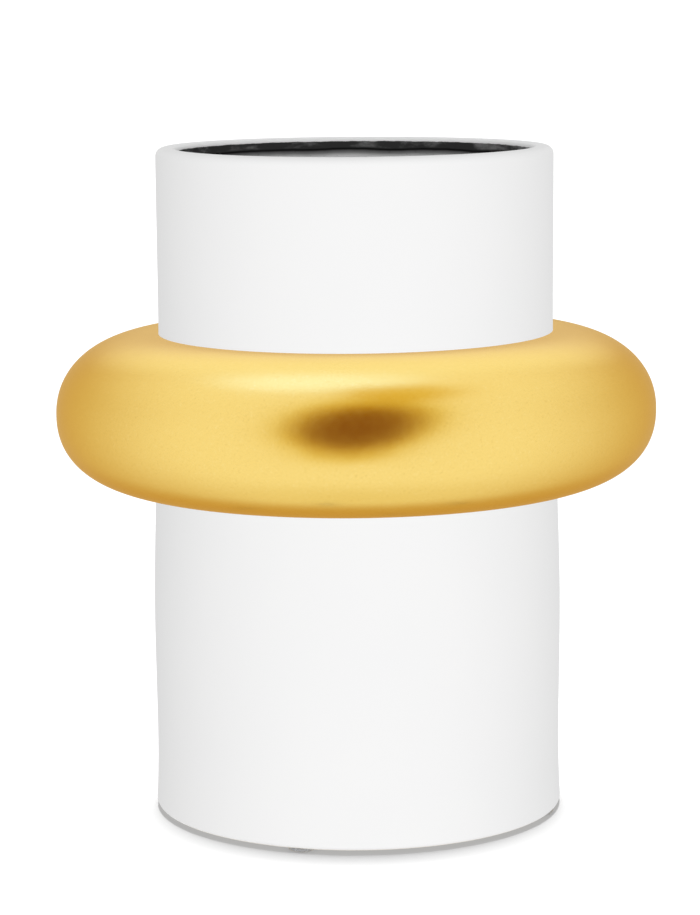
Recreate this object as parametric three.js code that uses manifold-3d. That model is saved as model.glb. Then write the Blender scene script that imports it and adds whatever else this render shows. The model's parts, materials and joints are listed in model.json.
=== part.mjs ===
// A porcelain vase with a gold ring round its middle.
// Units are millimetres, +Z is up, and the origin is on the axis at the level the vase stands on.
// The white body is one casting. A separate hollow ring drops over its neck, rests on a hidden
// shoulder in a bed of adhesive, and is centred by a bead of adhesive in a groove in its bore.
// Four bumper pads under the foot hold the body off the surface it stands on.
import * as THREE from "three";
import { mergeVertices } from "three/addons/utils/BufferGeometryUtils.js";
import Module from "manifold-3d";

// ---- Driving dimensions ----

// The body, from the foot up
const BODY_HEIGHT = 244;
const NECK_RADIUS = 72.4;
const LIP_OUTER_ROUND = 3;
const LIP_INNER_ROUND = 1.8;
const SHOULDER_WIDTH = 1.8; // how far the shoulder stands out from the neck
const SHOULDER_RISE = 145; // its height over the underside of the foot
const SHOULDER_EDGE = 0.4;
const BELLY_SWELL = 1; // how far the lower wall's fullest part stands out from the shoulder
const BELLY_RISE = 76;
const WAIST_SWELL = 0.6; // the same, where the wall draws in a little above the foot
const WAIST_RISE = 27;
const FOOT_SWELL = 1.3;
const FOOT_EDGE_ROUND = 1.6;
const FOOT_RECESS_DEPTH = 2.5;
const FOOT_RING_MARGIN = 1.5; // foot ring left between the pads and the recess

// The inside of the body
const NECK_WALL = 7.4;
const BODY_WALL = 7.4;
const FLOOR_THICKNESS = 9;
const FLOOR_ROUND = 8;
const INNER_SHOULDER_RISE = 12; // height over which the bore narrows to the neck's bore

// The ring: a hollow D section, fuller than an ellipse
const RING_HEIGHT_ABOVE = 29.2; // from the fullest level up to the top edge
const RING_HEIGHT_BELOW = 27;
const RING_FULLEST_LIFT = 2.1; // from the body's shoulder up to the fullest level
const RING_REACH = 37.9; // how far the ring stands out from the neck
const RING_FULLNESS = 2.2; // 2 is an ellipse, and more is squarer
const RING_WALL = 5;
const VENT_DIAMETER = 3;
const VENT_COUNT = 3;
const VENT_OVERSHOOT = 1; // how far the hole's cutter runs past each side of the wall

// The adhesive
const BOND_BED_THICKNESS = 1;
const BOND_GROOVE_DEPTH = 2;
const BOND_GROOVE_HEIGHT = 5;
const BOND_GROOVE_DROP = 9; // from the ring's top edge down to the groove

// The bumper pads
const PAD_DIAMETER = 10;
const PAD_THICKNESS = 1.2;
const PAD_TOP_DIAMETER = 7.6; // of the flat that meets the surface below
const PAD_EDGE = 0.4; // straight edge next to the foot, before the pad rounds off
const PAD_INSET = 0.6; // from the foot's widest radius to the pad's outer edge
const FIRST_PAD_ANGLE = -17; // degrees from +X

// Gap between two pieces that touch
const CLEARANCE = 0.3;

// How finely round shapes are cut
const SEGMENTS_AROUND = 60;
const ARC_STEPS = 4;
const WALL_STEPS = 8;
const RING_STEPS = 14;
const PAD_SEGMENTS = 16;
const VENT_SEGMENTS = 12;

// ---- Heights and radii that follow from them ----

const bodyBottom = PAD_THICKNESS + CLEARANCE;
const bodyTop = bodyBottom + BODY_HEIGHT;
const shoulderLevel = bodyBottom + SHOULDER_RISE;
const floorLevel = bodyBottom + FOOT_RECESS_DEPTH + FLOOR_THICKNESS;
const shoulderRadius = NECK_RADIUS + SHOULDER_WIDTH;
const footRadius = shoulderRadius + FOOT_SWELL;
const neckBore = NECK_RADIUS - NECK_WALL;
const bodyBore = shoulderRadius - BODY_WALL;

const ringLevel = shoulderLevel + RING_FULLEST_LIFT;
const ringTop = ringLevel + RING_HEIGHT_ABOVE;
const ringBoreOverNeck = NECK_RADIUS + CLEARANCE;
const ringBoreOverBody = shoulderRadius + CLEARANCE;
const ringLedgeLevel = shoulderLevel + BOND_BED_THICKNESS + 2 * CLEARANCE;

// ---- Helpers ----

const point = (radius, height) => new THREE.Vector2(radius, height);

// Points on an arc round a centre, from one angle to another in degrees. With a second radius, the
// arc is part of an ellipse.
function arc(centreRadius, centreHeight, across, fromAngle, toAngle, up = across) {
  return Array.from({ length: ARC_STEPS + 1 }, (_, i) => {
    const angle = THREE.MathUtils.degToRad(fromAngle + ((toAngle - fromAngle) * i) / ARC_STEPS);
    return point(centreRadius + across * Math.cos(angle), centreHeight + up * Math.sin(angle));
  });
}

// A profile of (radius, height) points turned round the +Z axis.
function turned(profile, segments = SEGMENTS_AROUND) {
  return new THREE.LatheGeometry(profile, segments).rotateX(Math.PI / 2);
}

// The half of a D section that stands out from a radius: points from its bottom edge to its top.
function dSection(springRadius, reach, middle, below, above) {
  return Array.from({ length: RING_STEPS + 1 }, (_, i) => {
    const angle = -Math.PI / 2 + (Math.PI * i) / RING_STEPS;
    const across = Math.max(0, Math.cos(angle)) ** (2 / RING_FULLNESS);
    const up = Math.abs(Math.sin(angle)) ** (2 / RING_FULLNESS) * Math.sign(angle);
    return point(springRadius + reach * across, middle + (angle < 0 ? below : above) * up);
  });
}

const wasm = await Module();
wasm.setup();

function toSolid(geometry) {
  const bare = geometry.clone();
  bare.deleteAttribute("normal");
  bare.deleteAttribute("uv");
  const merged = mergeVertices(bare, 1e-4);
  return new wasm.Manifold(
    new wasm.Mesh({
      numProp: 3,
      vertProperties: merged.attributes.position.array,
      triVerts: new Uint32Array(merged.index.array),
    }),
  );
}

function toGeometry(solid) {
  const mesh = solid.getMesh();
  return new THREE.BufferGeometry()
    .setAttribute("position", new THREE.BufferAttribute(mesh.vertProperties, 3))
    .setIndex(new THREE.BufferAttribute(mesh.triVerts, 1))
    .toNonIndexed();
}

// ---- Materials ----

const porcelain = new THREE.MeshStandardMaterial({
  color: 0xf5f4f2,
  roughness: 0.45,
  metalness: 0,
});
const gold = new THREE.MeshStandardMaterial({ color: 0xe9b64c, roughness: 0.32, metalness: 1 });
const adhesive = new THREE.MeshStandardMaterial({ color: 0xe4dcc4, roughness: 0.6, metalness: 0 });
const padRubber = new THREE.MeshStandardMaterial({ color: 0xb9bcbd, roughness: 0.3, metalness: 0 });

const vase = new THREE.Group();

function addPiece(name, geometry, material) {
  geometry.computeVertexNormals();
  const piece = new THREE.Mesh(geometry, material);
  piece.name = name;
  vase.add(piece);
  return piece;
}

// ---- The white body ----

// The outside of the lower wall: out over the foot, in at the waist, out again at the belly.
function lowerWall() {
  const curve = new THREE.SplineCurve([
    point(footRadius, bodyBottom + FOOT_EDGE_ROUND),
    point(shoulderRadius + WAIST_SWELL, bodyBottom + WAIST_RISE),
    point(shoulderRadius + BELLY_SWELL, bodyBottom + BELLY_RISE),
    point(shoulderRadius, ringLevel - RING_HEIGHT_BELOW),
  ]);
  return curve.getPoints(WALL_STEPS);
}

function bodyProfile() {
  const footRingInside = footRadius - PAD_INSET - PAD_DIAMETER - FOOT_RING_MARGIN;
  return [
    point(0, bodyBottom + FOOT_RECESS_DEPTH),
    point(footRingInside, bodyBottom + FOOT_RECESS_DEPTH),
    point(footRingInside, bodyBottom),
    ...arc(footRadius - FOOT_EDGE_ROUND, bodyBottom + FOOT_EDGE_ROUND, FOOT_EDGE_ROUND, -90, 0),
    ...lowerWall().slice(1),
    point(shoulderRadius, shoulderLevel - SHOULDER_EDGE),
    point(shoulderRadius - SHOULDER_EDGE, shoulderLevel),
    point(NECK_RADIUS, shoulderLevel),
    ...arc(NECK_RADIUS - LIP_OUTER_ROUND, bodyTop - LIP_OUTER_ROUND, LIP_OUTER_ROUND, 0, 90),
    ...arc(neckBore + LIP_INNER_ROUND, bodyTop - LIP_INNER_ROUND, LIP_INNER_ROUND, 90, 180),
    point(neckBore, shoulderLevel),
    point(bodyBore, shoulderLevel - INNER_SHOULDER_RISE),
    ...arc(bodyBore - FLOOR_ROUND, floorLevel + FLOOR_ROUND, FLOOR_ROUND, 0, -90),
    point(0, floorLevel),
  ];
}

addPiece("vase_body", turned(bodyProfile()), porcelain);

// ---- The gold ring ----

const grooveTop = ringTop - BOND_GROOVE_DROP;
const grooveBottom = grooveTop - BOND_GROOVE_HEIGHT;
const grooveRadius = ringBoreOverNeck + BOND_GROOVE_DEPTH;

// The outside, down the stepped bore with its groove, and back to the start.
function ringProfile() {
  const reach = NECK_RADIUS + RING_REACH - ringBoreOverBody;
  const outside = dSection(
    ringBoreOverBody,
    reach,
    ringLevel,
    RING_HEIGHT_BELOW,
    RING_HEIGHT_ABOVE,
  );
  return [
    ...outside,
    point(ringBoreOverNeck, ringTop),
    point(ringBoreOverNeck, grooveTop),
    point(grooveRadius, grooveTop),
    point(grooveRadius, grooveBottom),
    point(ringBoreOverNeck, grooveBottom),
    point(ringBoreOverNeck, ringLedgeLevel),
    point(ringBoreOverBody, ringLedgeLevel),
    outside[0].clone(),
  ];
}

// The hollow, one wall in from the outside and from the wider bore.
function ringHollowProfile() {
  const inside = ringBoreOverBody + RING_WALL;
  const section = dSection(
    inside,
    NECK_RADIUS + RING_REACH - RING_WALL - inside,
    ringLevel,
    RING_HEIGHT_BELOW - RING_WALL,
    RING_HEIGHT_ABOVE - RING_WALL,
  );
  return [...section, section[0].clone()];
}

// Holes through the bore wall let the air out of the hollow while the ring is fired.
function ventGeometries() {
  const level = (ringLedgeLevel + grooveBottom) / 2;
  const inner = ringBoreOverNeck - VENT_OVERSHOOT;
  const length = ringBoreOverBody + RING_WALL + VENT_OVERSHOOT - inner;
  return Array.from({ length: VENT_COUNT }, (_, i) =>
    new THREE.CylinderGeometry(VENT_DIAMETER / 2, VENT_DIAMETER / 2, length, VENT_SEGMENTS)
      .rotateZ(Math.PI / 2)
      .translate(inner + length / 2, 0, level)
      .rotateZ((2 * Math.PI * i) / VENT_COUNT),
  );
}

let ring = toSolid(turned(ringProfile())).subtract(toSolid(turned(ringHollowProfile())));
for (const vent of ventGeometries()) ring = ring.subtract(toSolid(vent));
addPiece("gold_ring", toGeometry(ring), gold);

// ---- The adhesive ----

// A plain band between two radii and two levels.
function band(innerRadius, outerRadius, bottom, top) {
  return turned([
    point(innerRadius, bottom),
    point(outerRadius, bottom),
    point(outerRadius, top),
    point(innerRadius, top),
    point(innerRadius, bottom),
  ]);
}

addPiece(
  "ring_bond_bed",
  band(
    NECK_RADIUS + CLEARANCE,
    shoulderRadius,
    shoulderLevel + CLEARANCE,
    ringLedgeLevel - CLEARANCE,
  ),
  adhesive,
);
addPiece(
  "ring_bond_bead",
  band(
    NECK_RADIUS + CLEARANCE,
    grooveRadius - CLEARANCE,
    grooveBottom + CLEARANCE,
    grooveTop - CLEARANCE,
  ),
  adhesive,
);

// ---- The bumper pads ----

const padNames = ["foot_pad_right", "foot_pad_back", "foot_pad_left", "foot_pad_front"];
const padCircle = footRadius - PAD_INSET - PAD_DIAMETER / 2;

// A flat to stand on, a rounded rim, a short straight edge, and the flat that sticks to the foot.
function padGeometry() {
  const flat = PAD_TOP_DIAMETER / 2;
  const rim = PAD_DIAMETER / 2 - flat;
  const rimHeight = PAD_THICKNESS - PAD_EDGE;
  return turned(
    [
      point(0, 0),
      ...arc(flat, rimHeight, rim, -90, 0, rimHeight),
      point(PAD_DIAMETER / 2, PAD_THICKNESS),
      point(0, PAD_THICKNESS),
    ],
    PAD_SEGMENTS,
  );
}

padNames.forEach((name, i) => {
  const angle = THREE.MathUtils.degToRad(FIRST_PAD_ANGLE + (360 * i) / padNames.length);
  const pad = addPiece(name, padGeometry(), padRubber);
  pad.position.set(padCircle * Math.cos(angle), padCircle * Math.sin(angle), 0);
});

export default vase;
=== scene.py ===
# %% [markdown]
# # A white porcelain vase with a gold ring
#
# This lesson finishes a vase that was designed elsewhere. The design gives every piece its size and
# its place. Here each piece that shows gets a smooth, finely cut mesh and a surface built from
# nodes, and the vase is then lit on a white table.
#
# The vase is three things. A thick white porcelain body, cast in one. A hollow ring, finished in
# satin gold, that was dropped over the neck and bonded to a hidden shoulder. Four clear bumper pads
# under the foot.

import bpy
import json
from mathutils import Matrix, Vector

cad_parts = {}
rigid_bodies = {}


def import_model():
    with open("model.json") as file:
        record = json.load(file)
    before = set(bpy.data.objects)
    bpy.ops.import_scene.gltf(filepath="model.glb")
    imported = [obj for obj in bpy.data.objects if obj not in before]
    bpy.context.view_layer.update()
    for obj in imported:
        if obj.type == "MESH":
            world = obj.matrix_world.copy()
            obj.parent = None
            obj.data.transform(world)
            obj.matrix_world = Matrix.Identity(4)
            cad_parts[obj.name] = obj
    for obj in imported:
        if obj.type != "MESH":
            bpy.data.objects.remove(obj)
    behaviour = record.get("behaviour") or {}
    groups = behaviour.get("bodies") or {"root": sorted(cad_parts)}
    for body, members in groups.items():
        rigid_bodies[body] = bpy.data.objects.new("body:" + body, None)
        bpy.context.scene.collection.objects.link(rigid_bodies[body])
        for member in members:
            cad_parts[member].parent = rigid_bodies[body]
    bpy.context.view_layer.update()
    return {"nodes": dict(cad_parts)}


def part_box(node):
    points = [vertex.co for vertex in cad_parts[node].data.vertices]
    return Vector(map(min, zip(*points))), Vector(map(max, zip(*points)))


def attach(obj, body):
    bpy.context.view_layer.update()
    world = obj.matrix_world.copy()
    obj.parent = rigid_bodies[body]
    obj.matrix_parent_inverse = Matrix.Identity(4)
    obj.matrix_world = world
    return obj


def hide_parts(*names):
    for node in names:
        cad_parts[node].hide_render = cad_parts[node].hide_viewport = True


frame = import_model()
print("pieces in the frame:", sorted(frame["nodes"]))

# %% [markdown]
# ## The camera
#
# A long lens from a little over a metre keeps the sides of the body almost parallel and shows just
# a sliver of the inside of the mouth. The camera looks down by about nine degrees, so the rings of
# the shape open out from nearly straight lines at the lip to clear curves at the foot. Its slight
# roll is what makes the vase stand a hair off upright in the picture.
#
# The camera could be aimed with a constraint that tracks the vase. Plain angles are used instead,
# because each can be changed by itself and its effect seen. The roll comes first, about the
# camera's own line of sight, so the turns are applied in the order Z, Y, X.

# %% Camera
import math

import bpy

CAMERA_PLACE = (-0.0024, -1.1365, 0.3071)
CAMERA_SENSOR = 36  # millimetres across the long side
CAMERA_LENS = 122.25  # millimetres, for that sensor
CAMERA_REACH = 1000  # metres, past the far edge of the table
CAMERA_DOWN = 8.84  # degrees below level
CAMERA_ROLL = -0.40  # degrees

camera_data = bpy.data.cameras.new("camera")
camera_data.lens = CAMERA_LENS
camera_data.sensor_width = CAMERA_SENSOR
camera_data.clip_end = CAMERA_REACH
camera = bpy.data.objects.new("camera", camera_data)
camera.location = CAMERA_PLACE
camera.rotation_mode = "ZYX"
camera.rotation_euler = (math.radians(90 - CAMERA_DOWN), 0, math.radians(CAMERA_ROLL))
bpy.context.scene.collection.objects.link(camera)
bpy.context.scene.camera = camera
print("the camera stands", round(-CAMERA_PLACE[1], 3), "m in front of the axis")

# %% [markdown]
# ## Sizes
#
# Every size is in metres. Heights and outer radii are read from the design's own pieces, so the
# looks follow it. The few sizes that a box around a piece can't give, such as the thickness of a
# wall or the rounding of an edge, are named here once and are the same as in the design.

# %% Sizes
MM = 0.001
GAP = 0.3 * MM  # what the design leaves between two pieces that touch
SHOULDER_WIDTH = 1.8 * MM
WALL = 7.4 * MM
FLOOR = 9 * MM
RECESS_DEPTH = 2.5 * MM

body_low, body_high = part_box("vase_body")
ring_low, ring_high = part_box("gold_ring")
bed_low, bed_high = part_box("ring_bond_bed")
bead_low, bead_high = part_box("ring_bond_bead")

bottom = body_low.z
top = body_high.z
foot_radius = body_high.x
shoulder_radius = bed_high.x
shoulder_level = bed_low.z - GAP
neck_radius = shoulder_radius - SHOULDER_WIDTH
neck_bore = neck_radius - WALL
body_bore = shoulder_radius - WALL
recess_level = bottom + RECESS_DEPTH
floor_level = recess_level + FLOOR
ring_radius = ring_high.x
print("body: foot %.4f, neck %.4f, top %.4f" % (foot_radius, neck_radius, top))
print("ring: out to %.4f, from %.4f to %.4f" % (ring_radius, ring_low.z, ring_high.z))

# %% [markdown]
# ## Turning a profile
#
# Everything here was thrown on a wheel, or cast in a mould that was: it is round. The plainest way
# to model that is to draw half of the section as a list of points, each a radius and a height, and
# to turn it round the upright axis. Rounded edges are arcs, cut into short steps, and the steps are
# the only thing that decides how smooth an outline looks up close.
#
# The Screw modifier turns a profile too. A small function is used here, because the points can then
# be worked out from the sizes above, and because the same place can say which corners stay sharp:
# a turned surface is shaded smooth everywhere but at its true corners.

# %% Helpers: arcs, lines and curves
import bmesh


def arc(centre, size, start, end, steps=10):
    """Points on an arc, from one angle to another in degrees. The size is a radius, or two."""
    across, up = size if isinstance(size, tuple) else (size, size)
    angles = [math.radians(start + (end - start) * i / steps) for i in range(steps + 1)]
    return [(centre[0] + across * math.cos(a), centre[1] + up * math.sin(a)) for a in angles]


def line(start, end, step):
    """Points along a straight stretch, both ends included, no further apart than a step."""
    length = math.dist(start, end)
    count = max(1, math.ceil(length / step))
    return [
        (
            start[0] + (end[0] - start[0]) * i / count,
            start[1] + (end[1] - start[1]) * i / count,
        )
        for i in range(count + 1)
    ]


def through(points, steps=10):
    """A smooth curve through every point given (a Catmull-Rom curve)."""
    padded = [points[0], *points, points[-1]]
    curve = [points[0]]
    for a, b, c, d in zip(padded, padded[1:], padded[2:], padded[3:]):
        for i in range(1, steps + 1):
            t = i / steps
            curve.append(
                tuple(
                    0.5 * (2 * q + (r - p) * t + (2 * p - 5 * q + 4 * r - s) * t**2
                           + (3 * q - p - 3 * r + s) * t**3)
                    for p, q, r, s in zip(a, b, c, d)
                )
            )
    return curve


print("a quarter arc has", len(arc((0, 0), 1, 0, 90)), "points")

# %% Helpers: turning
ON_AXIS = 1e-6  # a radius below this counts as the axis itself
SAME_PLACE = 1e-7  # two points closer than this count as one


def without_repeats(profile):
    """The profile with each point that lies on the one before it left out."""
    kept = [profile[0]]
    for place in profile[1:]:
        if math.dist(place, kept[-1]) > SAME_PLACE:
            kept.append(place)
    return kept


def turned(name, profile, around, closed=False, sharp=30):
    """A mesh object: the profile turned round the upright axis."""
    shape = bmesh.new()
    turns = [2 * math.pi * i / around for i in range(around)]
    rows = []
    for radius, height in without_repeats(profile):
        if radius < ON_AXIS:
            rows.append([shape.verts.new((0, 0, height))] * around)
            continue
        rows.append([
            shape.verts.new((radius * math.cos(a), radius * math.sin(a), height)) for a in turns
        ])
    pairs = list(zip(rows, rows[1:]))
    if closed:
        pairs.append((rows[-1], rows[0]))
    for lower, upper in pairs:
        for i in range(around):
            j = (i + 1) % around
            corners = dict.fromkeys([lower[i], lower[j], upper[j], upper[i]])
            shape.faces.new(list(corners))
    bmesh.ops.recalc_face_normals(shape, faces=shape.faces)
    mesh = bpy.data.meshes.new(name)
    shape.to_mesh(mesh)
    shape.free()
    mesh.polygons.foreach_set("use_smooth", [True] * len(mesh.polygons))
    mesh.set_sharp_from_angle(angle=math.radians(sharp))
    piece = bpy.data.objects.new(name, mesh)
    bpy.context.scene.collection.objects.link(piece)
    print(name, "has", len(mesh.polygons), "faces")
    return piece


print("pieces will be turned from their profiles")

# %% [markdown]
# ## The white body
#
# On the real vase the body is one slip casting: liquid clay is poured into a plaster mould, a wall
# sets against the plaster, and the rest is poured out. That leaves a thick, even wall and soft
# edges. The foot is cut back in the middle so that the vase stands on a ring, and the neck is a
# little slimmer than the body, with a square shoulder between them for the gold ring to sit on.
#
# A cylinder with its edges bevelled would come close, but the real wall isn't straight. It flares a
# little at the foot, draws in, and fills out again at the belly, so the lower wall is a curve
# through four places.

# %% Body: the section
AROUND = 256
WALL_STEP = 4 * MM
LIP_OUTER_ROUND = 3 * MM
LIP_INNER_ROUND = 1.8 * MM
WAIST_HEIGHT = 27 * MM
WAIST_SWELL = 0.6 * MM  # wider than the shoulder by this much
BELLY_HEIGHT = 76 * MM
BELLY_SWELL = 1.0 * MM
FOOT_ROUND = 1.6 * MM
FOOT_RING_WIDTH = 12.1 * MM
RECESS_ROUND = 0.8 * MM
SHOULDER_ROUND = 0.4 * MM
FLOOR_ROUND = 8 * MM
INNER_SHOULDER = 12 * MM  # how far down the bore takes to widen under the neck
foot_ring_inside = foot_radius - FOOT_RING_WIDTH


def body_profile():
    """From the middle of the recess under the foot, up the outside, and down the inside."""
    recess = [
        (0, recess_level),
        *line((0, recess_level), (foot_ring_inside - RECESS_ROUND, recess_level), WALL_STEP),
        *arc((foot_ring_inside - RECESS_ROUND, recess_level - RECESS_ROUND), RECESS_ROUND, 90, 0),
        *arc((foot_ring_inside + RECESS_ROUND, bottom + RECESS_ROUND), RECESS_ROUND, 180, 270),
    ]
    foot = arc((foot_radius - FOOT_ROUND, bottom + FOOT_ROUND), FOOT_ROUND, -90, 0)
    lower_wall = through([
        (foot_radius, bottom + FOOT_ROUND),
        (shoulder_radius + WAIST_SWELL, bottom + WAIST_HEIGHT),
        (shoulder_radius + BELLY_SWELL, bottom + BELLY_HEIGHT),
        (shoulder_radius, ring_low.z),
    ])
    shoulder = [
        *arc((shoulder_radius - SHOULDER_ROUND, shoulder_level - SHOULDER_ROUND),
             SHOULDER_ROUND, 0, 90, 4),
        (neck_radius, shoulder_level),
    ]
    lip_start = (neck_radius, top - LIP_OUTER_ROUND)
    lip = [
        *line((neck_radius, shoulder_level), lip_start, WALL_STEP),
        *arc((neck_radius - LIP_OUTER_ROUND, top - LIP_OUTER_ROUND), LIP_OUTER_ROUND, 0, 90),
        *arc((neck_bore + LIP_INNER_ROUND, top - LIP_INNER_ROUND), LIP_INNER_ROUND, 90, 180),
    ]
    inside = [
        *line((neck_bore, top - LIP_INNER_ROUND), (neck_bore, shoulder_level), WALL_STEP),
        *line((body_bore, shoulder_level - INNER_SHOULDER),
              (body_bore, floor_level + FLOOR_ROUND), WALL_STEP),
        *arc((body_bore - FLOOR_ROUND, floor_level + FLOOR_ROUND), FLOOR_ROUND, 0, -90),
        *line((body_bore - FLOOR_ROUND, floor_level), (0, floor_level), WALL_STEP),
    ]
    return recess + foot + lower_wall + shoulder + lip + inside


print("the body's section has", len(body_profile()), "points")

# %% [markdown]
# Clay shrinks and moves in the kiln, so no casting stays perfectly round. The wall is pushed in and
# out by a tenth of a millimetre or two over long, slow waves, and the lip rises and falls a little
# and sinks by 0.3 of a millimetre. A Displace modifier with a cloud texture would do something
# like it, but can't be told to stay away from the ring, which has to meet the wall without a gap.

# %% Body: movement in the kiln
OVAL = 0.16 * MM  # a wave that goes twice round
OVAL_TURN = 0.7  # radians: where the wave has its crests
THREE_LOBED = 0.08 * MM  # a wave that goes three times round
THREE_LOBED_TURN = 1.9
LIP_WAVE = 0.12 * MM
LIP_TURN = 0.4
LIP_SINKS = 0.30 * MM
LIP_REACH = 20 * MM  # how far down the wall the lip's movement is felt
KEEP_CLEAR = 4 * MM  # of the ring and of the foot
FADE = 40 * MM
AXIS_CLEAR = 1 * MM


def smooth_step(value, low, high):
    """0 below low, 1 above high, and a soft rise between them."""
    share = min(1, max(0, (value - low) / (high - low)))
    return share * share * (3 - 2 * share)


def kiln_movement(piece):
    """Long, slow waves in the wall that fade out towards the ring and the foot."""
    for vertex in piece.data.vertices:
        x, y, z = vertex.co
        if math.hypot(x, y) < AXIS_CLEAR:
            continue
        angle = math.atan2(y, x)
        above = smooth_step(z, ring_high.z + KEEP_CLEAR, top)
        below = smooth_step(z, bottom + KEEP_CLEAR, bottom + FADE)
        below *= 1 - smooth_step(z, ring_low.z - FADE, ring_low.z - KEEP_CLEAR)
        push = OVAL * math.cos(2 * angle - OVAL_TURN)
        push += THREE_LOBED * math.cos(3 * angle + THREE_LOBED_TURN)
        push *= above + below
        at_lip = smooth_step(z, top - LIP_REACH, top)
        lift = LIP_WAVE * math.cos(2 * angle + LIP_TURN) * at_lip
        vertex.co.x += push * math.cos(angle)
        vertex.co.y += push * math.sin(angle)
        vertex.co.z += lift - LIP_SINKS * at_lip


body = turned("porcelain_body", body_profile(), AROUND)
kiln_movement(body)
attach(body, "root")
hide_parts("vase_body")

# %% [markdown]
# ## The gold ring
#
# The ring is a second casting, hollow and as fat as a cushion. Its section is a D: flat where it
# goes over the neck, and outside a curve a little squarer than an ellipse, which is what makes it
# look so full. A stretched torus would be quicker to make, but its section would be an oval. The
# curve used is a superellipse. In an ellipse the sine and cosine are used as they are, and here
# both are raised to a power a little below one.
#
# The bore has a step that rests on the body's shoulder and a groove for a bead of adhesive. Nobody
# set the ring quite level when it was bonded: it leans by a fifth of a degree. The lean is made by
# raising one side and lowering the other, which leaves the bore snug on the neck all the way round.

# %% Ring
RING_AROUND = 288
RING_STEPS = 96
FULLNESS_ABOVE = 2.13  # 2 would be an ellipse, and more is squarer
FULLNESS_BELOW = 2.26
RING_FULLEST = 28.9 * MM  # from the top edge down to the fullest level
RING_LEAN = 0.0035  # rise over run, from left to right
SNUG = 0.02 * MM
ring_level = ring_high.z - RING_FULLEST


def d_curve(spring_radius):
    """The outside of the D, from its bottom edge out to its fullest level and up to its top."""
    points = []
    for i in range(RING_STEPS + 1):
        angle = math.pi * (i / RING_STEPS - 0.5)
        below = angle < 0
        power = 2 / (FULLNESS_BELOW if below else FULLNESS_ABOVE)
        out = max(0, math.cos(angle)) ** power
        up = abs(math.sin(angle)) ** power
        radius = spring_radius + (ring_radius - spring_radius) * out
        height = (ring_low.z - ring_level) * up if below else RING_FULLEST * up
        points.append((radius, ring_level + height))
    return points


def ring_profile():
    """The whole section: the D outside, then down the bore with its groove and its step."""
    over_neck = neck_radius + SNUG
    over_body = shoulder_radius + SNUG
    groove_top = bead_high.z + GAP
    groove_bottom = bead_low.z - GAP
    groove_radius = bead_high.x + GAP
    ledge = bed_high.z + GAP
    return [
        *d_curve(over_body),
        (over_neck, ring_high.z),
        (over_neck, groove_top),
        (groove_radius, groove_top),
        (groove_radius, groove_bottom),
        (over_neck, groove_bottom),
        (over_neck, ledge),
        (over_body, ledge),
    ]


ring = turned("gold_ring_shell", ring_profile(), RING_AROUND, closed=True)
for vertex in ring.data.vertices:
    vertex.co.z += RING_LEAN * vertex.co.x
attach(ring, "root")
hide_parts("gold_ring")

# %% [markdown]
# ## The bumper pads
#
# Small clear domes, peeled off a sheet and pressed on under the foot, keep its bare, gritty clay
# from scratching a table. Each has a flat to stand on, a rounded rim and a short straight edge
# next to the foot. A squashed sphere would do from afar, but would have nothing flat to stand on,
# so these are turned as well. One function makes them all, at the places where the design has
# them.

# %% Pads
PAD_AROUND = 48
PAD_FLAT_SHARE = 0.76
PAD_EDGE = 0.4 * MM
PAD_BEVEL = 0.1 * MM


def bumper(side):
    """One pad, turned on the axis and then moved to its place under the foot."""
    low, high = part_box("foot_pad_" + side)
    radius = (high.x - low.x) / 2
    flat = radius * PAD_FLAT_SHARE
    rim_height = bottom - PAD_EDGE
    profile = [
        (0, 0),
        (flat, 0),
        *arc((flat, rim_height), (radius - flat, rim_height), -90, 0, 8),
        (radius, bottom - PAD_BEVEL),
        (radius - PAD_BEVEL, bottom),
        (0, bottom),
    ]
    pad = turned("bumper_" + side, profile, PAD_AROUND)
    for vertex in pad.data.vertices:
        vertex.co.x += (low.x + high.x) / 2
        vertex.co.y += (low.y + high.y) / 2
    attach(pad, "root")
    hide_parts("foot_pad_" + side)
    return pad


pads = [bumper(side) for side in ("right", "back", "left", "front")]

# %% [markdown]
# ## Building a finish from nodes
#
# A finish is a small network of nodes that ends in one shader. It could be drawn by hand in the
# shader editor, or painted as an image. Nodes made by a script need no image files, look as sharp
# from any distance, and show in one line what each number does. One helper keeps the networks
# readable: it makes a node, sets it up, and joins each input either to a number or to another
# node's output. Patterns are read in the object's own space, in metres, so a grain keeps its true
# size and stays on the piece when the piece moves.

# %% Helpers: nodes
def node(tree, kind, inputs=None, **settings):
    """A node with its settings. An input takes a plain value or another node's output."""
    made = tree.nodes.new(kind)
    for setting, value in settings.items():
        setattr(made, setting, value)
    for key, value in (inputs or {}).items():
        if isinstance(value, bpy.types.NodeSocket):
            tree.links.new(value, made.inputs[key])
        else:
            made.inputs[key].default_value = value
    return made


def finish_tree(name):
    """A material, its node tree, its shader and the coordinates that its patterns use."""
    material = bpy.data.materials.new(name)
    material.use_nodes = True
    tree = material.node_tree
    shader = tree.nodes["Principled BSDF"]
    place = node(tree, "ShaderNodeTexCoord").outputs["Object"]
    return material, tree, shader, place


def math_node(tree, operation, first, second=0.0, third=0.0):
    """The result of one sum on numbers or on other nodes' outputs."""
    return node(
        tree, "ShaderNodeMath", {0: first, 1: second, 2: third}, operation=operation
    ).outputs[0]


def vector_node(tree, operation, first, second=(0, 0, 0), output=0):
    """The result of one sum on vectors."""
    return node(
        tree, "ShaderNodeVectorMath", {0: first, 1: second}, operation=operation
    ).outputs[output]


print("four helpers make nodes and do sums with them")

# %% Helpers: patterns and colours
def spread(tree, value, low, high, to_low=0.0, to_high=1.0, kind="SMOOTHSTEP"):
    """The value carried from one range to another, held at its ends."""
    inputs = {
        "Value": value,
        "From Min": low,
        "From Max": high,
        "To Min": to_low,
        "To Max": to_high,
    }
    return node(tree, "ShaderNodeMapRange", inputs, interpolation_type=kind).outputs["Result"]


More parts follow.
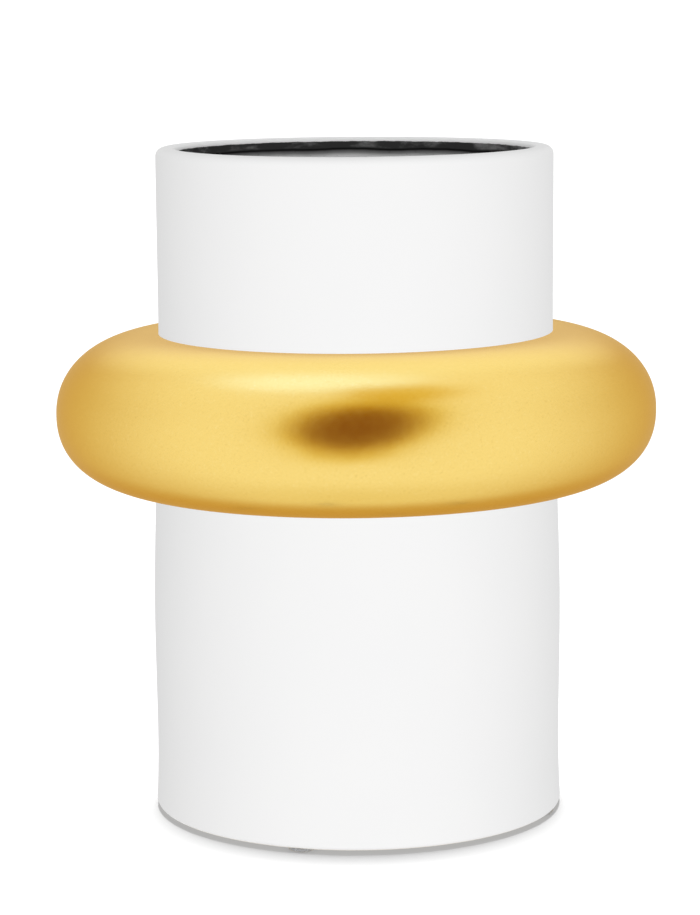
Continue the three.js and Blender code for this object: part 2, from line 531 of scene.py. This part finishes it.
def noise(tree, place, grain, detail=3.0, roughness=0.5, stretch=None):
    """Cloudy noise whose grain is given as a size in metres."""
    if stretch:
        place = vector_node(tree, "MULTIPLY", place, stretch)
    inputs = {"Vector": place, "Scale": 1 / grain, "Detail": detail, "Roughness": roughness}
    return node(tree, "ShaderNodeTexNoise", inputs).outputs["Fac"]


def blend(tree, share, first, second):
    """A colour between two colours."""
    return node(
        tree, "ShaderNodeMix", {0: share, 6: first, 7: second}, data_type="RGBA"
    ).outputs[2]


def bumps(tree, height, depth, under=None):
    """A bump from a height pattern whose full swing is a depth in metres."""
    inputs = {"Height": height, "Distance": depth, "Strength": 1.0}
    if under:
        inputs["Normal"] = under
    return node(tree, "ShaderNodeBump", inputs).outputs["Normal"]


def grey(level, warmth=0.0):
    """A neutral colour with a little warmth, in the shader's linear units."""
    return (level * (1 + warmth), level, level * (1 - warmth), 1)


def colour_ramp(tree, share, stops):
    """Colours along a share from 0 to 1: each stop is a place and a colour."""
    ramp = node(tree, "ShaderNodeValToRGB", {0: share})
    elements = ramp.color_ramp.elements
    while len(elements) < len(stops):
        elements.new(1)
    for element, (stop, colour) in zip(elements, stops):
        element.position = stop
        element.color = colour
    return ramp.outputs["Color"]


def greys_by_depth(tree, depth, stops):
    """Greys that change with depth: each stop is a depth in metres and a level."""
    reach = stops[-1][0]
    shares = [(stop / reach, grey(level)) for stop, level in stops]
    return colour_ramp(tree, math_node(tree, "DIVIDE", depth, reach), shares)


print("a warm light grey is", [round(part, 3) for part in grey(0.8, 0.02)])

# %% [markdown]
# ## The porcelain finish
#
# Outside, the body has a white glaze with a satin surface: it sheds light softly and mirrors
# nothing that shows. Over the lip the white stops short. Inside it is dark, with a mottled rim
# whose lighter streaks are part mottling and part painted glints, then a thin, wavy black line and
# a light grey band. Below that the grey is painted darker and darker with depth: painted shade,
# falling off down into the hollow. Under the foot the clay is bare, because glaze there would stick
# to the kiln shelf.
#
# The inside, the outside and the foot could be three materials, each given to its own faces. The
# borders would then follow the edges of the mesh, and the real ones waver. So all of it is one
# network. The distance from the axis and the depth below the lip say where a point is, and they
# choose between the colours. The lines are made wavy by adding noise to the depth before it is
# used.

# %% Porcelain: where a point is
porcelain, tree, shader, place = finish_tree("satin_porcelain")
axes = node(tree, "ShaderNodeSeparateXYZ", {0: place}).outputs
flat_place = node(tree, "ShaderNodeCombineXYZ", {"X": axes["X"], "Y": axes["Y"]}).outputs[0]
from_axis = vector_node(tree, "LENGTH", flat_place, output="Value")
depth = math_node(tree, "SUBTRACT", top, axes["Z"])

clouds = noise(tree, place, 45 * MM, detail=2)
ripple = noise(tree, place, 14 * MM, detail=2)
mottle = noise(tree, place, 5 * MM, detail=4, roughness=0.6)
speck = noise(tree, place, 1.1 * MM, detail=2)
print("four grains of noise, from 45 mm down to 1.1 mm")

# %% Porcelain: the dark inside, with painted shade below
RIM_REACH = 16 * MM
# Greys by depth below the lip: a dark rim, a black line, a light grey band, then from 9 mm down
# painted shade that darkens with depth.
RIM_GREYS_AND_SHADE = [
    (0, 0.045),
    (4.4 * MM, 0.04),
    (4.8 * MM, 0.006),  # the black line
    (5.1 * MM, 0.012),
    (5.6 * MM, 0.11),
    (6.4 * MM, 0.25),
    (7.6 * MM, 0.76),  # the light grey band
    (9 * MM, 0.74),
    (RIM_REACH, 0.30),
]
# Painted shade: from here to the floor the inside is painted darker with depth.
DEEP_PAINTED_SHADE = [
    (0, 0.30),
    (RIM_REACH, 0.30),
    (70 * MM, 0.16),
    (top - bottom, 0.07),
]
RIM_TO_DEEP = 12 * MM
LINE_WAVE = 1.2 * MM  # from crest to trough
PATCH_EDGE = (4.6 * MM, 3.6 * MM)

wave = math_node(tree, "MULTIPLY_ADD", ripple, LINE_WAVE, -LINE_WAVE / 2)
wavy_depth = math_node(tree, "ADD", depth, wave)
rim_greys_and_shade = greys_by_depth(tree, wavy_depth, RIM_GREYS_AND_SHADE)
deep_shade_colours = greys_by_depth(tree, depth, DEEP_PAINTED_SHADE)
rim_or_deep = math_node(tree, "GREATER_THAN", depth, RIM_TO_DEEP)
# The dark inside, with its painted shade deeper down.
inside_greys_and_shade = blend(tree, rim_or_deep, rim_greys_and_shade, deep_shade_colours)
# Lighter streaks in the dark rim: part mottling, part painted glints.
streaks = noise(tree, place, 22 * MM, detail=5, roughness=0.65, stretch=(1, 1, 3))
streak_and_glint_patches = spread(tree, streaks, 0.44, 0.68)
near_rim = spread(tree, wavy_depth, *PATCH_EDGE)
inside_greys_and_shade = blend(tree, math_node(tree, "MULTIPLY", streak_and_glint_patches, near_rim), inside_greys_and_shade, grey(0.22))
inside_greys_and_shade = blend(tree, spread(tree, speck, 0.62, 0.75, 0, 0.25), inside_greys_and_shade, grey(0.02))
print("the black line lies", round(RIM_GREYS_AND_SHADE[2][0] / MM, 1), "mm below the lip")

# %% Porcelain: the white outside and the bare foot
CLAY_DARK = (0.78, 0.74, 0.67, 1)
CLAY_LIGHT = (0.86, 0.83, 0.77, 1)

white = blend(tree, clouds, grey(0.905, 0.003), grey(0.885, -0.002))
white = blend(tree, spread(tree, speck, 0.66, 0.8, 0, 0.3), white, grey(0.86, 0.01))
clay = blend(tree, mottle, CLAY_DARK, CLAY_LIGHT)
print("the glaze is a little uneven, between", grey(0.885)[1], "and", grey(0.905)[1])

# %% Porcelain: which colour goes where
LIP_WHITE_DEPTH = 1.9 * MM
LIP_EDGE_SOFT = 0.15 * MM
LIP_EDGE_WAVE = 0.8 * MM  # from crest to trough
INSIDE_STARTS = (neck_bore + 2.4 * MM, neck_bore + 2.0 * MM)
BARE_EDGE = (bottom + 0.7 * MM, bottom + 0.3 * MM)
RECESS_MARGIN = 1 * MM
FLOOR_MARGIN = 2 * MM

inner_side = spread(tree, from_axis, *INSIDE_STARTS)
edge_wave = math_node(tree, "MULTIPLY_ADD", mottle, LIP_EDGE_WAVE, -LIP_EDGE_WAVE / 2)
lip_depth = math_node(tree, "ADD", depth, edge_wave)
past_lip = spread(
    tree, lip_depth, LIP_WHITE_DEPTH - LIP_EDGE_SOFT, LIP_WHITE_DEPTH + LIP_EDGE_SOFT
)
above_floor = math_node(tree, "GREATER_THAN", axes["Z"], floor_level - FLOOR_MARGIN)
inside = math_node(tree, "MULTIPLY", inner_side, past_lip)
inside = math_node(tree, "MULTIPLY", inside, above_floor)
under_foot = spread(tree, axes["Z"], *BARE_EDGE)
recess_side = math_node(tree, "LESS_THAN", from_axis, foot_ring_inside + RECESS_MARGIN)
recess_height = math_node(tree, "LESS_THAN", axes["Z"], recess_level + RECESS_MARGIN)
in_recess = math_node(tree, "MULTIPLY", recess_side, recess_height)
bare = math_node(tree, "MAXIMUM", under_foot, in_recess)

colour = blend(tree, inside, white, inside_greys_and_shade)
colour = blend(tree, bare, colour, clay)
tree.links.new(colour, shader.inputs["Base Color"])
print("the white turns over the lip and stops", LIP_WHITE_DEPTH / MM, "mm down")

# %% Porcelain: its surface
SHEEN = (0.46, 0.54)
BARE_ROUGHER = 0.35
RIPPLE_DEPTH = 0.10 * MM
SPECK_DEPTH = 0.012 * MM

sheen_noise = spread(tree, mottle, 0.3, 0.7, *SHEEN, "LINEAR")
rough = math_node(tree, "MULTIPLY_ADD", bare, BARE_ROUGHER, sheen_noise)
tree.links.new(rough, shader.inputs["Roughness"])
skin = bumps(tree, ripple, RIPPLE_DEPTH)
skin = bumps(tree, speck, SPECK_DEPTH, skin)
tree.links.new(skin, shader.inputs["Normal"])
shader.inputs["Specular IOR Level"].default_value = 0.0
body.data.materials.append(porcelain)
print("porcelain finish has", len(tree.nodes), "nodes")

# %% [markdown]
# ## The gold finish
#
# The gold is a lacquer full of fine metal flakes, sprayed on after the last firing. It behaves like
# brushed metal with no brush lines: a soft mirror that smears what it reflects. Close to, it
# sparkles, because the flakes do not all lie flat, and the sprayed coat has gentle lumps.
#
# Yellow paint under a clear coat would be the other way to make it, but paint has a colour of its
# own where it mirrors nothing, and this surface goes dark there. So it is a metallic shader, whose
# middling roughness gives the soft mirror. Noise at the scale of the flakes changes its colour and
# its height a little, a coarser noise changes its roughness, and a far larger one gives the lumps.

# %% Gold
GOLD = (0.96, 0.70, 0.195, 1)
GOLD_DEEPER = (0.94, 0.67, 0.17, 1)
FLAKE_BRIGHT = (1.0, 0.80, 0.34, 1)
FLAKE_DARK = (0.82, 0.52, 0.10, 1)
FLAKE_SHARE = 0.35
GOLD_EDGE_TINT = (0.93, 0.80, 0.62, 1)  # where the surface is seen edge on
GOLD_ROUGHNESS = (0.235, 0.265)
LUMP_DEPTH = 0.10 * MM
COARSE_DEPTH = 0.003 * MM
FLAKE_DEPTH = 0.009 * MM

gold, tree, shader, place = finish_tree("satin_gold")
flakes = noise(tree, place, 0.9 * MM, detail=3, roughness=0.65)
coarse = noise(tree, place, 2.6 * MM, detail=3)
lumps = noise(tree, place, 16 * MM, detail=2)
drift = noise(tree, place, 60 * MM, detail=2)

base = blend(tree, drift, GOLD, GOLD_DEEPER)
base = blend(tree, spread(tree, flakes, 0.54, 0.76, 0, FLAKE_SHARE), base, FLAKE_BRIGHT)
base = blend(tree, spread(tree, flakes, 0.46, 0.24, 0, FLAKE_SHARE), base, FLAKE_DARK)
tree.links.new(base, shader.inputs["Base Color"])
roughness = spread(tree, coarse, 0.3, 0.7, *GOLD_ROUGHNESS, "LINEAR")
tree.links.new(roughness, shader.inputs["Roughness"])
coat_skin = bumps(tree, lumps, LUMP_DEPTH)
coat_skin = bumps(tree, coarse, COARSE_DEPTH, coat_skin)
coat_skin = bumps(tree, flakes, FLAKE_DEPTH, coat_skin)
tree.links.new(coat_skin, shader.inputs["Normal"])
shader.inputs["Metallic"].default_value = 1
shader.inputs["Specular Tint"].default_value = GOLD_EDGE_TINT
ring.data.materials.append(gold)
print("gold finish has", len(tree.nodes), "nodes")

# %% [markdown]
# ## The clear pads and the adhesive
#
# The pads are a clear, slightly cloudy rubber. Under a vase they look grey, because what shows
# through them is shadow. Fully clear glass would be the textbook way to make them, and would be
# noisy and nearly black in a gap this low. So their colour is a cloudy grey, painted shade that
# stands for the shadow seen through them, and only a third of the light goes through.
#
# The adhesive is a set epoxy: cream, with trapped air and a trowelled surface. It lies between the
# ring and the body and never shows, but its two pieces are part of the vase, so they are finished
# too.

# %% Rubber for the pads
RUBBER_CLEAR = 0.35
RUBBER_IOR = 1.49

rubber, tree, shader, place = finish_tree("clear_rubber")
cloud = noise(tree, place, 2 * MM, detail=3)
dust = noise(tree, place, 0.4 * MM, detail=2)
# Painted shade: the grey stands for the shadow seen through the clear pads, with flecks of dust on
# it.
painted_shade_and_dust = blend(tree, cloud, grey(0.40), grey(0.52, -0.01))
painted_shade_and_dust = blend(tree, spread(tree, dust, 0.62, 0.75, 0, 0.5), painted_shade_and_dust, grey(0.7, 0.01))
tree.links.new(painted_shade_and_dust, shader.inputs["Base Color"])
tree.links.new(spread(tree, cloud, 0.3, 0.7, 0.22, 0.34, "LINEAR"), shader.inputs["Roughness"])
tree.links.new(bumps(tree, dust, 0.02 * MM), shader.inputs["Normal"])
shader.inputs["Transmission Weight"].default_value = RUBBER_CLEAR
shader.inputs["IOR"].default_value = RUBBER_IOR
for pad in pads:
    pad.data.materials.append(rubber)
print("rubber finish has", len(tree.nodes), "nodes")

# %% Epoxy for the ring's bond
EPOXY_LIGHT = (0.80, 0.75, 0.60, 1)
EPOXY_DARK = (0.70, 0.63, 0.47, 1)
EPOXY_BUBBLE = (0.55, 0.48, 0.33, 1)

epoxy, tree, shader, place = finish_tree("set_epoxy")
smears = noise(tree, place, 3 * MM, detail=4, roughness=0.6)
bubbles = noise(tree, place, 0.6 * MM, detail=2)
paste = blend(tree, smears, EPOXY_LIGHT, EPOXY_DARK)
paste = blend(tree, spread(tree, bubbles, 0.6, 0.72, 0, 0.5), paste, EPOXY_BUBBLE)
tree.links.new(paste, shader.inputs["Base Color"])
tree.links.new(spread(tree, smears, 0.3, 0.7, 0.45, 0.65, "LINEAR"), shader.inputs["Roughness"])
smeared = bumps(tree, smears, 0.3 * MM)
tree.links.new(bumps(tree, bubbles, 0.05 * MM, smeared), shader.inputs["Normal"])
for name in ("ring_bond_bed", "ring_bond_bead"):
    adhesive_mesh = frame["nodes"][name].data
    adhesive_mesh.materials.clear()
    adhesive_mesh.materials.append(epoxy)
print("epoxy finish has", len(tree.nodes), "nodes")

# %% [markdown]
# ## The table
#
# A plain pale table that runs on past the edge of the picture, so that no horizon shows. A curved
# backdrop would hide the horizon too, but would have to be turned for every other view. It is a
# single flat sheet, and it is part of the studio rather than of the vase. It glows a little, so
# that no part of the shadow on it goes black.

# %% Table
TABLE_HALF = 200.0
TABLE_GREY = 0.2
TABLE_GLOW = 0.31
TABLE_ROUGHNESS = 0.9

table_shape = bmesh.new()
corners = [(-1, -1), (1, -1), (1, 1), (-1, 1)]
table_shape.faces.new([
    table_shape.verts.new((TABLE_HALF * x, TABLE_HALF * y, 0)) for x, y in corners
])
table_mesh = bpy.data.meshes.new("table")
table_shape.to_mesh(table_mesh)
table_shape.free()
table = bpy.data.objects.new("table", table_mesh)
bpy.context.scene.collection.objects.link(table)
paper, tree, shader, place = finish_tree("white_table")
shader.inputs["Base Color"].default_value = grey(TABLE_GREY)
shader.inputs["Emission Color"].default_value = grey(1.0)
shader.inputs["Emission Strength"].default_value = TABLE_GLOW
shader.inputs["Roughness"].default_value = TABLE_ROUGHNESS
shader.inputs["Specular IOR Level"].default_value = 0.0
table_mesh.materials.append(paper)
print("the table is", 2 * TABLE_HALF, "m across")

# %% [markdown]
# ## The light
#
# Two things light the vase. A soft light hangs almost straight overhead, leaning a little to the
# back, which leaves a narrow crescent of shadow in front of the foot. It is linked to the table
# alone, and the ring casts no shadow in it. Around everything is a studio of white cards, drawn as
# a sky whose brightness depends on direction. Real lamps and cards could stand around the vase
# instead. Drawn ones are easier to set: each has one place, one size and one colour.
#
# That sky has three patterns. What the picture shows behind the vase is plain white. What lights
# the matt white body is darker to the left and right, and less so above, which shades the sides of
# the cylinder and the lip and makes them look round. What the gold mirrors is white, with a dark
# brown card in front and up from the level of the table, warm and dimmer cards behind, and four
# soft patches: a metal with nothing dark to mirror looks like yellow paint. The sky is only looked
# up by rays that happen to reach it, so that each kind of ray gets its own pattern.
#
# The table is left out of what the body and the gold see, the gold is left out of what the body
# sees, and the body is left out of what the gold mirrors. That keeps yellow off the white glaze, as
# a photographer would with a card.

# %% Overhead light
OVERHEAD = 12.6
OVERHEAD_WIDTH = 8  # degrees
OVERHEAD_BACK = 2.8  # degrees from straight up, towards the back

lamp_data = bpy.data.lights.new("overhead", "SUN")
lamp_data.energy = OVERHEAD
lamp_data.angle = math.radians(OVERHEAD_WIDTH)
lamp = bpy.data.objects.new("overhead", lamp_data)
lamp.rotation_euler.x = -math.radians(OVERHEAD_BACK)
bpy.context.scene.collection.objects.link(lamp)
lit_from_above = bpy.data.collections.new("lit_from_above")
lit_from_above.objects.link(table)
lamp.light_linking.receiver_collection = lit_from_above
table.visible_diffuse = False
table.visible_glossy = False
ring.visible_diffuse = False
ring.visible_shadow = False
body.visible_glossy = False
print("the overhead light is", OVERHEAD_WIDTH, "degrees wide")

# %% Sky: directions
sky = bpy.data.worlds.new("studio")
bpy.context.scene.world = sky
sky.use_nodes = True
sky.cycles.sampling_method = "NONE"
tree = sky.node_tree
tree.nodes.clear()
direction = node(tree, "ShaderNodeTexCoord").outputs["Generated"]
toward = node(tree, "ShaderNodeSeparateXYZ", {0: direction}).outputs
forward = math_node(tree, "MULTIPLY", toward["Y"], -1.0)
over_front = math_node(tree, "ARCTAN2", toward["Z"], forward)
height = math_node(tree, "ARCSINE", toward["Z"])
print("the directions take", len(tree.nodes), "nodes")

# %% Sky: what lights the matt body
LEVEL_LIGHT = 1.71  # from the front and the back, at eye level
SIDE_LOSS = 3.14  # how fast it dims towards either side
FAR_SIDE_GAIN = 2.69  # how much of that comes back at the very side
SIDE_LEAN = 0.035  # a little more from the right than from the left
ZENITH_LOSS = 0.9  # how much less comes from straight up, and from straight down

side_share = math_node(tree, "MULTIPLY", toward["X"], toward["X"])
zenith_share = math_node(tree, "MULTIPLY", toward["Z"], toward["Z"])
side_light = math_node(tree, "MULTIPLY_ADD", side_share, FAR_SIDE_GAIN, -SIDE_LOSS)
matt = math_node(tree, "MULTIPLY_ADD", side_share, side_light, LEVEL_LIGHT)
matt = math_node(tree, "MULTIPLY_ADD", toward["X"], SIDE_LEAN, matt)
matt = math_node(tree, "MULTIPLY_ADD", zenith_share, -ZENITH_LOSS, matt)
lights_matt = node(tree, "ShaderNodeBackground", {"Color": grey(1.0), "Strength": matt})
print("light from due right:", round(LEVEL_LIGHT - SIDE_LOSS + FAR_SIDE_GAIN + SIDE_LEAN, 3))

# %% Sky: the dark card that the gold mirrors
CARD_HEIGHT = 25  # degrees over the level, for the middle of the dark card
CARD_ACROSS = 0.59  # half its width, as the sideways part of a direction
CARD_ABOVE = 61  # degrees from its middle to its top edge
CARD_BELOW = 52  # degrees from its middle to its bottom edge
CARD_LEAN = 0.11  # how far the card's top leans to the right
CARD_CORE = 0.34  # the share of its size that is fully dark
CARD_TONES = [
    (0.0, (1.0, 1.0, 1.0, 1)),
    (0.30, (0.84, 0.70, 0.14, 1)),
    (0.60, (0.54, 0.32, 0.0, 1)),
    (0.85, (0.29, 0.115, 0.0, 1)),
    (1.0, (0.22, 0.075, 0.0, 1)),
]


def dark_card(tilt):
    """0 outside the dark card, 1 in its middle. The tilt is the height over the level it faces."""
    raised = math_node(tree, "SUBTRACT", tilt, math.radians(CARD_HEIGHT))
    upper = math_node(tree, "MAXIMUM", raised, 0.0)
    lower = math_node(tree, "MINIMUM", raised, 0.0)
    above = math_node(tree, "DIVIDE", upper, math.radians(CARD_ABOVE))
    below = math_node(tree, "DIVIDE", lower, math.radians(CARD_BELOW))
    upright = math_node(tree, "ADD", above, below)
    across = math_node(tree, "MULTIPLY_ADD", raised, -CARD_LEAN, toward["X"])
    across = math_node(tree, "DIVIDE", across, CARD_ACROSS)
    squares = math_node(tree, "MULTIPLY", upright, upright)
    squares = math_node(tree, "MULTIPLY_ADD", across, across, squares)
    return spread(tree, math_node(tree, "SQRT", squares), 1, CARD_CORE)


card_colour = colour_ramp(tree, dark_card(over_front), CARD_TONES)
print("the card's bottom edge is", CARD_HEIGHT - CARD_BELOW, "degrees over the level")
print("its top edge is", CARD_HEIGHT + CARD_ABOVE, "degrees over the level")

# %% Sky: the cards around it
WHITE_CARDS = (1.0, 1.02, 1.14, 1)
WARM_BEHIND = (0.69, 0.565, 0.35, 1)
STRAIGHT_DOWN = (0.88, 0.84, 0.75, 1)
BEHIND_FADE = (0.6, -0.95)  # how far forward a ray points, where the warm cards start and are full
HIGH_FADE = (62, 12)  # degrees up, where they start and are full
LOW_FADE = (-90, -60)
DOWN_FADE = (-45, -90)
PATCHES = [
    # the direction of its middle, its edge and its middle in degrees, and its colour
    ((0.0, 0.788, 0.616), 32, 8, (1.06, 1.13, 1.35, 1)),  # a bright sheet, behind and above
    ((0.0, 0.743, -0.669), 36, 8, (0.63, 0.45, 0.18, 1)),  # an amber one, behind and below
    ((-0.13, 0.24, 0.962), 22, 3, (1.12, 1.38, 2.4, 1)),  # a window nearly overhead
    ((0.175, -0.115, 0.978), 19, 3, (0.78, 0.60, 0.08, 1)),  # an amber one next to it
]


def patch(pattern, centre, edge, middle, patch_colour):
    """The pattern with a soft round patch of a colour on it."""
    closeness = vector_node(tree, "DOT_PRODUCT", direction, centre, "Value")
    share = spread(
        tree, closeness, math.cos(math.radians(edge)), math.cos(math.radians(middle))
    )
    return blend(tree, share, pattern, patch_colour)


def over_heights(fade):
    """0 at the first height of a fade and 1 at the second. Both are in degrees."""
    start, full = fade
    return spread(tree, height, math.radians(start), math.radians(full))


behind = spread(tree, forward, *BEHIND_FADE)
not_high = over_heights(HIGH_FADE)
not_low = over_heights(LOW_FADE)
dim = math_node(tree, "MULTIPLY", behind, math_node(tree, "MULTIPLY", not_high, not_low))
mirrored = blend(tree, dim, WHITE_CARDS, WARM_BEHIND)
mirrored = blend(tree, over_heights(DOWN_FADE), mirrored, STRAIGHT_DOWN)
for centre, edge, middle, patch_colour in PATCHES:
    mirrored = patch(mirrored, centre, edge, middle, patch_colour)
darkened = node(
    tree,
    "ShaderNodeMix",
    {0: 1.0, 6: mirrored, 7: card_colour},
    data_type="RGBA",
    blend_type="MULTIPLY",
).outputs[2]
lights_gold = node(tree, "ShaderNodeBackground", {"Color": darkened, "Strength": 1.0})
print("the gold mirrors", len(PATCHES), "streak_and_glint_patches")

# %% Sky: each kind of ray gets its pattern
rays = node(tree, "ShaderNodeLightPath").outputs
plain = node(tree, "ShaderNodeBackground", {"Color": grey(1.0), "Strength": 1.0})
for_matt, for_gold, for_camera = (
    background.outputs["Background"] for background in (lights_matt, lights_gold, plain)
)


def either(share, first, second):
    """The first light where the share is 0, the second where it is 1."""
    return node(tree, "ShaderNodeMixShader", {0: share, 1: first, 2: second}).outputs[0]


lit = either(rays["Is Glossy Ray"], for_matt, for_gold)
shown = either(rays["Is Camera Ray"], lit, for_camera)
node(tree, "ShaderNodeOutputWorld", {"Surface": shown})
print("sky has", len(tree.nodes), "nodes")

# %% [markdown]
# ## Colour
#
# A filmic view transform would roll the brightest parts off and turn a white table grey. The
# standard one keeps white white, so it is used here.

# %% Finish
import json

view = bpy.context.scene.view_settings
view.view_transform = "Standard"
view.look = "None"
